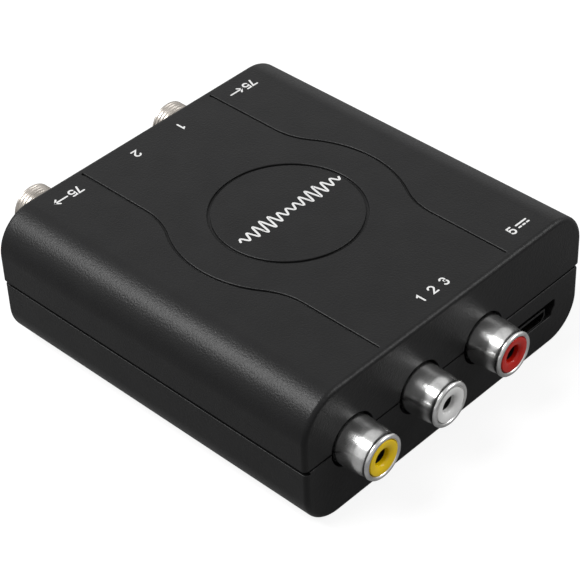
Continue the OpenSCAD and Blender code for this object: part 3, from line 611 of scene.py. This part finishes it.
def make_bottom_shell():
    """Lower shell with its lip, openings, screw posts and recesses."""
    high = SEAM_Z - SEAM_GAP / 2
    shell = case_body("case_bottom", BASE_W)
    combine(shell, seam_cutter(BASE_W, high, 1))
    sides = seam_cutter(BASE_W, high - SIDE_DROP, 1)
    lip_w, lip_d = BASE_W / 2 - WALL + LIP_T, BACK - WALL + LIP_T
    keep = block("keep", (-lip_w - LIP_GAP, -CASE_D, -CASE_H), (lip_w + LIP_GAP, CASE_D, 2 * CASE_H))
    combine(shell, combine(sides, keep))
    combine(shell, block("lip", (-lip_w, -lip_d, high - WALL), (lip_w, lip_d, LIP_TOP)), "UNION")
    combine(shell, cavity(BASE_W))
    rise = [(POST_R, WALL - BOSS_SINK), (POST_R, BOARD_Z)]
    posts = at_screws(lambda x, y: turned("post", rise, x, y, 0, "Z"))
    combine(shell, joined("posts", posts), "UNION")
    down = [(RECESS_R + EDGE + EASE, -OVER)] + [(RECESS_R + out, deep) for out, deep in rim(EDGE)]
    down += [(RECESS_R, RECESS_H), (SHANK_R + SEAT_GAP, RECESS_H), (SHANK_R + SEAT_GAP, BOARD_Z + OVER)]
    combine(shell, joined("recesses", at_screws(lambda x, y: turned("recess", down, x, y, 0, "Z"))))
    combine(shell, round_openings())
    combine(shell, opening("inlet", inlet_outline, FRONT, 1, INLET.x, BOARD_TOP - INLET_UNDER))
    combine(shell, opening("slot", slider_outline, BACK, -1, 0, SLIDE.z))
    return finished(shell, "case_black", stands_for="bottom_shell")


make_top_shell()
make_bottom_shell()


# Phono jacks

def make_barrel(name, x):
    """Drawn metal barrel: rolled lip, curved neck behind it, tapered body and a leg to the board."""
    low, high = box_mm(name + "_barrel")
    length = high.y - low.y
    inner = BARREL_R - BARREL_T
    bead = (LIP_R - inner) / 2
    root = FRONT - low.y
    profile = [(inner, length)] + arc(inner + bead, bead, bead, 180, BEAD_END, BEAD_STEPS)
    flare_r, flare_end = profile[-1]
    for k in range(1, FLARE_STEPS):
        left = 1 - k / FLARE_STEPS
        profile.append((NECK_R + (flare_r - NECK_R) * left ** 2, NECK + (flare_end - NECK) * left))
    for k in range(BODY_STEPS + 1):
        share = k / BODY_STEPS
        eased = 0.5 - 0.5 * math.cos(math.pi * share ** BODY_EASE)
        profile.append((NECK_R + (SHOULDER_R - NECK_R) * eased, NECK + (SHOULDER - NECK) * share))
    profile.append((ROOT_R, root))
    profile += [(ROOT_R, root + WALL), (BARREL_R, root + WALL), (BARREL_R, length)]
    barrel = turned(name + "_metal", profile, x, low.y, SEAM_Z, closed=True)
    y, leg_top = FRONT + WALL + TAB_PLACE, SEAM_Z - inner - BARREL_T / 2
    leg = block("leg", (x - TAB_W / 2, y, low.z), (x + TAB_W / 2, y + TAB_T, leg_top), SMALL_CORNER)
    combine(barrel, leg, "UNION")
    return finished(barrel, "nickel", stands_for=name + "_barrel")


def make_insert(name, x, slot):
    """Coloured plastic face with a rounded way in to the pin's hole, and the dark core behind it."""
    low, high = box_mm(name + "_insert")
    length = high.y - low.y
    walls = [(PIN_R, length), (PIN_R, INSERT_WALL), (INSERT_R, INSERT_WALL), (INSERT_R, length)]
    core = turned(name + "_core", walls, x, low.y, SEAM_Z, closed=True)
    finished(core, "moulded_black", stands_for=name + "_insert")
    profile = [(PIN_R, INSERT_WALL)]
    for k in range(FUNNEL_STEPS, -1, -1):
        t = math.radians(90 * k / FUNNEL_STEPS)
        profile.append((PIN_R + FUNNEL_R * (1 - math.sin(t)), FUNNEL * (1 - math.cos(t))))
    profile += arc(INSERT_R - INSERT_EDGE, INSERT_EDGE, INSERT_EDGE, 270, 360, EDGE_STEPS)
    profile.append((INSERT_R, INSERT_WALL))
    ring = turned(name + "_plastic", profile, x, low.y, SEAM_Z, closed=True)
    return finished(ring, slot, stands_for=name + "_insert")


for jack, place in JACKS.items():
    make_barrel(jack, place.x)
    make_insert(jack, place.x, SLOT_OF[jack + "_insert"])


# Aerial sockets

def thread_depth(turn):
    """How far the thread's flank lies below its crest, for a place along one turn from 0 to 1."""
    return THREAD_DEEP * (0.5 - 0.5 * math.cos(2 * math.pi * turn))


def make_aerial(name, x):
    """Threaded nickel socket with a chamfered mouth, a hexagon shoulder and a tail."""
    mouth = box_mm(name + "_socket")[1].y
    inner_end = box_mm(name + "_socket")[0].y
    shoulder = box_mm("can_frame")[1].y
    thread = mouth - BACK - THREAD_STOP
    rings = []

    def add(radius, depth):
        """One ring at a depth behind the mouth, with a radius or a function of angle and depth."""
        points = []
        for k in range(TURN_STEPS):
            a = 2 * math.pi * k / TURN_STEPS
            r = radius(a, depth) if callable(radius) else radius
            points.append((x + r * math.cos(a), mouth - depth, SEAM_Z + r * math.sin(a)))
        rings.append(points)

    def threaded(a, depth):
        """Radius of the thread at an angle and a depth, with the chamfer at the mouth and a run-out."""
        lead = min(1, max(0, (depth - MOUTH_CHAMFER) / THREAD_FADE), max(0, (thread - depth) / THREAD_FADE))
        turn = (depth / THREAD_PITCH + a / (2 * math.pi)) % 1
        return THREAD_R - CREST_UNDER - thread_depth(turn) * lead

    def hexagon(a, _):
        """Radius of the shoulder, flat above and below."""
        side = math.radians(60)
        return HEX_R * math.cos(side / 2) / math.cos(a % side - side / 2)

    add(BORE_R, mouth - inner_end)
    for r, depth in arc(BORE_R + MOUTH_ROUND, MOUTH_ROUND, MOUTH_ROUND, 180, 270, MOUTH_STEPS):
        add(r, depth)
    add(THREAD_R - MOUTH_CHAMFER - MOUTH_EDGE_IN, 0)
    add(THREAD_R - MOUTH_CHAMFER + MOUTH_EDGE_OUT, MOUTH_EDGE_OUT)
    add(THREAD_R - CREST_UNDER, MOUTH_CHAMFER)
    rows = int((thread - MOUTH_CHAMFER) / (THREAD_PITCH / THREAD_STEPS))
    for k in range(1, rows + 1):
        add(threaded, MOUTH_CHAMFER + (thread - MOUTH_CHAMFER) * k / rows)
    add(RELIEF_R, thread)
    add(RELIEF_R, mouth - shoulder - HEX_T)
    add(hexagon, mouth - shoulder - HEX_T)
    add(hexagon, mouth - shoulder - HEX_GAP)
    add(TAIL_R, mouth - shoulder - HEX_GAP)
    add(TAIL_R, mouth - inner_end)
    socket = loft(name + "_metal", rings, closed=True)
    return finished(socket, "nickel", stands_for=name + "_socket", material=AERIAL_NICKEL)


def make_insulator(name, x):
    """White plug in the mouth, with a small funnel to the hole for the wire."""
    low, high = box_mm(name + "_insulator")
    length = high.y - low.y
    profile = [(TUBE_R, length), (TUBE_R, WIRE_DEEP), (WIRE_R, WIRE_DEEP)]
    profile += [(WIRE_R + out, deep) for out, deep in PLUG_FUNNEL]
    profile += arc(BORE_R - PLUG_EDGE, PLUG_EDGE, PLUG_EDGE, 270, 360, MOUTH_STEPS) + [(BORE_R, length)]
    plug = turned(name + "_plug", [(r, -u) for r, u in profile], x, high.y, SEAM_Z, closed=True)
    return finished(plug, "insulator_white", stands_for=name + "_insulator")


for aerial, place in AERIALS.items():
    make_aerial(aerial, place.x)
    make_insulator(aerial, place.x)


# Screws and the channel switch

def make_screw(i, x, y):
    """Pan head screw with a cross recess, driven from below."""
    head = RECESS_H - HEAD_H
    profile = [(HEAD_FLAT_R, head)]
    profile += arc(HEAD_R - HEAD_ROUND, head + HEAD_ROUND, HEAD_ROUND, HEAD_START, 360, HEAD_STEPS)
    profile += [(HEAD_R, RECESS_H), (SHANK_R, RECESS_H), (SHANK_R, SCREW_END - TIP_H), (TIP_R, SCREW_END)]
    screw = turned(f"case_screw_{i}", profile, x, y, 0, "Z")
    cross = [(CROSS_L, CROSS_W, head - OVER), (CROSS_L, CROSS_W, head)]
    cross.append((CROSS_FOOT_L, CROSS_FOOT_W, head + CROSS_DEEP))
    for across in (False, True):
        arms = []
        for half_l, half_w, z in cross:
            corners = rounded_rect(half_l, half_w, CROSS_CORNER, CROSS_STEPS)
            if across:
                corners = [(-b, a) for a, b in corners]
            arms.append(([(x + a, y + b) for a, b in corners], z))
        combine(screw, upright("arm", arms))
    return finished(screw, "screw_steel", stands_for="case_screws")


for number, (sx, sy) in enumerate([(-1, -1), (1, -1), (-1, 1), (1, 1)], 1):
    make_screw(number, sx * SCREW_X, sy * SCREW_Y)


def make_slider():
    """Sliding piece of the channel switch: carriage, stem and a ribbed knob."""
    low, high = box_mm("switch_slider")
    cx, cz = SLIDE.x, SLIDE.z
    carriage_y, knob_y = low.y + CARRIAGE_D, BACK - WALL + SEAT_GAP

    def bar(name, width, height, y0, y1, corner):
        """Block about the middle of the slider, between two places along Y."""
        half_w, half_h = width / 2, height / 2
        return block(name, (cx - half_w, y0, cz - half_h), (cx + half_w, y1, cz + half_h), corner)

    slider = bar("slider", high.x - low.x, high.z - low.z, low.y, carriage_y, CARRIAGE_CORNER)
    combine(slider, bar("stem", STEM_W, STEM_H, carriage_y - OVER, knob_y + OVER, KNOB_CORNER), "UNION")
    combine(slider, bar("knob", KNOB_W, KNOB_H, knob_y, high.y, KNOB_CORNER), "UNION")
    ribs = []
    for k in (-1, 0, 1):
        x, reach = cx + k * RIB_STEP, KNOB_H / 2 + OVER
        low_end = (x - RIB_W / 2, high.y - RIB_DEEP, cz - reach)
        ribs.append(block("rib", low_end, (x + RIB_W / 2, high.y + OVER, cz + reach), SMALL_CORNER))
    combine(slider, joined("ribs", ribs))
    round_edges(slider, SLIDER_EDGE)
    settle(slider)
    return finished(slider, "moulded_black", body=SLIDER, stands_for="switch_slider")


make_slider()


# Printed marks: plain numbers, arrows and signs

def printed(name, outlines):
    """White print from closed outlines in plan."""
    parts = [upright("ink", [(o, CASE_H - PRINT_T), (o, CASE_H + PRINT_T)]) for o in outlines]
    return finished(joined(name, parts), "insulator_white", material=PRINT_WHITE)


def stroke(points, width):
    """Outline of a line of given width through points, with round ends."""
    half = width / 2
    path = [Vector(p) for p in points]
    sides = ([], [])
    for i, p in enumerate(path):
        before = (p - path[i - 1]).normalized() if i else None
        after = (path[i + 1] - p).normalized() if i + 1 < len(path) else None
        along = ((before or after) + (after or before)).normalized()
        across = Vector((-along.y, along.x))
        widen = 1 / max(LEAST_MITRE, across.dot(Vector((-(after or before).y, (after or before).x))))
        sides[0].append(p + across * half * widen)
        sides[1].append(p - across * half * widen)
    start, end = path[0] - path[1], path[-1] - path[-2]
    a0, a1 = math.degrees(math.atan2(start.y, start.x)), math.degrees(math.atan2(end.y, end.x))
    return (
        [tuple(p) for p in sides[1]]
        + arc(*path[-1], half, a1 - 90, a1 + 90, CAP_STEPS)[1:-1]
        + [tuple(p) for p in reversed(sides[0])]
        + arc(*path[0], half, a0 - 90, a0 + 90, CAP_STEPS)[1:-1]
    )


def placed(outlines, x, y, from_behind=False):
    """Outlines moved to a place on the lid, to be read from the front or from behind."""
    s = -1 if from_behind else 1
    return [[(x + s * a, y + s * b) for a, b in outline] for outline in outlines]


DIGITS = {
    "1": [[(-0.28, 0.62), (0.12, 0.9), (0.12, -0.9)]],
    "2": [arc(0, 0.36, 0.56, 165, -30, 10) + [(-0.56, -0.9), (0.6, -0.9)]],
    "3": [arc(0, 0.43, 0.49, 150, -80, 10) + arc(0, -0.4, 0.53, 80, -150, 12)],
    "5": [[(0.5, 0.9), (-0.4, 0.9), (-0.5, 0.02)] + arc(-0.02, -0.3, 0.58, 125, -150, 12)],
    "7": [[(-0.55, 0.9), (0.55, 0.9), (-0.15, -0.9)]],
}


def digits(text):
    """Outlines of plain numbers in a row about the middle."""
    shift = (len(text) - 1) / 2
    found = []
    for i, key in enumerate(text):
        for line in DIGITS.get(key, []):
            found.append(stroke([(x + (i - shift) * DIGIT_STEP, y) for x, y in line], LABEL_STROKE))
    return found


def arrow(away):
    """Outlines of an arrow beside a number, to the right or to the left."""
    s = 1 if away else -1
    head = ARROW_X + s * (ARROW_HALF - ARROW_HEAD)
    return [
        stroke([(ARROW_X - ARROW_HALF, 0), (ARROW_X + ARROW_HALF, 0)], LABEL_STROKE),
        stroke([(head, ARROW_HEAD), (ARROW_X + s * ARROW_HALF, 0), (head, -ARROW_HEAD)], LABEL_STROKE),
    ]


def dc_sign():
    """Outlines of the sign for direct current beside a number, a line above three dashes."""
    marks = [stroke([(DC_X - DC_HALF, DC_RISE), (DC_X + DC_HALF, DC_RISE)], LABEL_STROKE)]
    for k in (-1, 0, 1):
        x = DC_X + k * DC_STEP
        marks.append(stroke([(x - DC_DASH_HALF, -DC_RISE), (x + DC_DASH_HALF, -DC_RISE)], LABEL_STROKE))
    return marks


def carrier_sign():
    """Outline of a carrier wave that swells and fades twice."""
    points = []
    for i in range(CARRIER_STEPS + 1):
        t = i / CARRIER_STEPS
        swell = CARRIER_LEAST_SHARE + (1 - CARRIER_LEAST_SHARE) * math.sin(2 * math.pi * t) ** 2
        wave = math.sin(2 * math.pi * CARRIER_WAVES * t)
        points.append((CARRIER_SPAN * (t - 0.5), CARRIER_HEIGHT * swell * wave))
    return [stroke(points, CARRIER_STROKE)]


printed("mark_aerial_out", placed(digits("75") + arrow(True), AERIAL_OUT_MARK_X, BACK_ROW_Y, True))
printed("mark_aerial_in", placed(digits("75") + arrow(False), AERIAL_IN_MARK_X, BACK_ROW_Y, True))
printed("mark_channel_one", placed(digits("1"), CHANNEL_MARK_X, BACK_ROW_Y, True))
printed("mark_channel_two", placed(digits("2"), -CHANNEL_MARK_X, BACK_ROW_Y, True))
printed("mark_jacks", placed(digits("1 2 3"), JACK_MARK_X, FRONT_ROW_Y))
printed("mark_power", placed(digits("5") + dc_sign(), POWER_MARK_X, FRONT_ROW_Y))
printed("mark_wave", placed(carrier_sign(), CARRIER_X, CARRIER_Y))


# CAD nodes that stay: finer edges and their materials

def dress_node(name, edge, material):
    """Gives a CAD node that stays its material and rounded edges."""
    node = NODES[name]
    node.data.materials.clear()
    node.data.materials.append(material)
    weld = node.modifiers.new("weld", "WELD")
    weld.merge_threshold = MERGE_CUT * MM
    round_edges(node, edge * MM)
    even_shading(node)


FINE_NODES = (
    "inlet_shell", "inlet_tongue", "inlet_contacts", "modulator_chip", "switch_cover", "switch_pins",
    "voltage_regulator", "can_frame", "can_lid", "chip_resistors", "chip_capacitors", "splitter_winding",
    "video_contact", "left_audio_contact", "right_audio_contact", "aerial_in_contact", "aerial_out_contact",
    "tuning_coil_core",
)
for node_name, node_object in NODES.items():
    if not node_object.hide_render:
        # The inlet's shell takes the near-black metal whose darkness is painted shade.
        own = INLET_STEEL_PAINTED_SHADE if node_name == "inlet_shell" else MATERIALS[SLOT_OF[node_name]]
        dress_node(node_name, FINE_EDGE if node_name in FINE_NODES else PLAIN_EDGE, own)


# Camera, lights and stage

def make_camera():
    """Camera of the photograph."""
    data = bpy.data.cameras.new("camera")
    data.sensor_width = SENSOR_W
    data.lens = LENS
    data.clip_start = CLIP_NEAR
    data.clip_end = CLIP_FAR
    camera = bpy.data.objects.new("camera", data)
    bpy.context.scene.collection.objects.link(camera)
    place = Matrix.Translation(Vector(CAMERA_PLACE) * MM)
    turn = Matrix.Rotation(math.radians(-YAW), 4, "Z") @ Matrix.Rotation(math.radians(90 - PITCH), 4, "X")
    camera.matrix_world = place @ turn @ Matrix.Rotation(math.radians(ROLL), 4, "Z")
    bpy.context.scene.camera = camera


def soft_lamp(name, direction, along, width, height, power):
    """Rectangular soft lamp that faces the object from a direction, with its width along another."""
    data = bpy.data.lights.new(name, "AREA")
    data.shape = "RECTANGLE"
    data.size, data.size_y = width, height
    data.energy = power
    lamp = bpy.data.objects.new(name, data)
    bpy.context.scene.collection.objects.link(lamp)
    away = Vector(direction).normalized()
    lamp.location = away * LAMP_DISTANCE + Vector((0, 0, CASE_H / 2 * MM))
    across = (Vector(along) - away * away.dot(Vector(along))).normalized()
    lamp.rotation_mode = "QUATERNION"
    lamp.rotation_quaternion = Matrix((across, away.cross(across), away)).transposed().to_quaternion()


def seen_directly(tree, seen, mirrored):
    """Strength for camera and transmission rays, another for glossy rays, and none for the rest."""
    path = tree.nodes.new("ShaderNodeLightPath")

    def step(operation, a, b):
        """One operation on two values, each a number or an output."""
        node = tree.nodes.new("ShaderNodeMath")
        node.operation = operation
        for socket, value in zip(node.inputs, (a, b)):
            if isinstance(value, float):
                socket.default_value = value
            else:
                tree.links.new(value, socket)
        return node.outputs[0]

    straight = step("MAXIMUM", path.outputs["Is Camera Ray"], path.outputs["Is Transmission Ray"])
    gloss = step("MULTIPLY", path.outputs["Is Glossy Ray"], mirrored)
    return step("MAXIMUM", step("MULTIPLY", straight, seen), gloss)


def make_world():
    """White to the eye, a little darker in reflections, and a plain ambient light otherwise."""
    world = bpy.data.worlds.new("studio")
    bpy.context.scene.world = world
    world.use_nodes = True
    tree = world.node_tree
    light = tree.nodes["Background"]
    light.inputs["Color"].default_value = (1, 1, 1, 1)
    light.inputs["Strength"].default_value = AMBIENT
    white = tree.nodes.new("ShaderNodeBackground")
    white.inputs["Color"].default_value = (1, 1, 1, 1)
    white.inputs["Strength"].default_value = 1
    mix = tree.nodes.new("ShaderNodeMixShader")
    tree.links.new(seen_directly(tree, WORLD_SEEN, WORLD_MIRRORED), mix.inputs[0])
    tree.links.new(light.outputs[0], mix.inputs[1])
    tree.links.new(white.outputs[0], mix.inputs[2])
    tree.links.new(mix.outputs[0], tree.nodes["World Output"].inputs["Surface"])


def make_floor():
    """White table top that keeps a soft shadow and is clear from below."""
    corners = [(x * FLOOR_HALF, y * FLOOR_HALF, 0) for x, y in ((-1, -1), (1, -1), (1, 1), (-1, 1))]
    floor = raw_object("floor", corners, [(0, 1, 2, 3)])
    material = bpy.data.materials.new("white_floor")
    material.use_nodes = True
    tree = material.node_tree
    tree.nodes.remove(tree.nodes["Principled BSDF"])
    paper = tree.nodes.new("ShaderNodeBsdfDiffuse")
    paper.inputs["Color"].default_value = (FLOOR_GREY, FLOOR_GREY, FLOOR_GREY, 1)
    glow = tree.nodes.new("ShaderNodeEmission")
    glow.inputs["Color"].default_value = (1, 1, 1, 1)
    tree.links.new(seen_directly(tree, FLOOR_SEEN, FLOOR_MIRRORED), glow.inputs["Strength"])
    both = tree.nodes.new("ShaderNodeAddShader")
    tree.links.new(paper.outputs[0], both.inputs[0])
    tree.links.new(glow.outputs[0], both.inputs[1])
    clear = tree.nodes.new("ShaderNodeBsdfTransparent")
    side = tree.nodes.new("ShaderNodeNewGeometry")
    mix = tree.nodes.new("ShaderNodeMixShader")
    tree.links.new(side.outputs["Backfacing"], mix.inputs[0])
    tree.links.new(both.outputs[0], mix.inputs[1])
    tree.links.new(clear.outputs[0], mix.inputs[2])
    tree.links.new(mix.outputs[0], tree.nodes["Material Output"].inputs["Surface"])
    floor.data.materials.append(material)


make_camera()
make_world()
make_floor()
soft_lamp("key", direction=(-0.43, 0.34, 0.74), along=(0, 1, 0), width=0.56, height=0.34, power=7.8)
soft_lamp("fill", direction=(0.56, -0.6, 0.56), along=(1, 1, 0), width=0.46, height=0.34, power=2.5)
bpy.context.scene.view_settings.view_transform = "Standard"
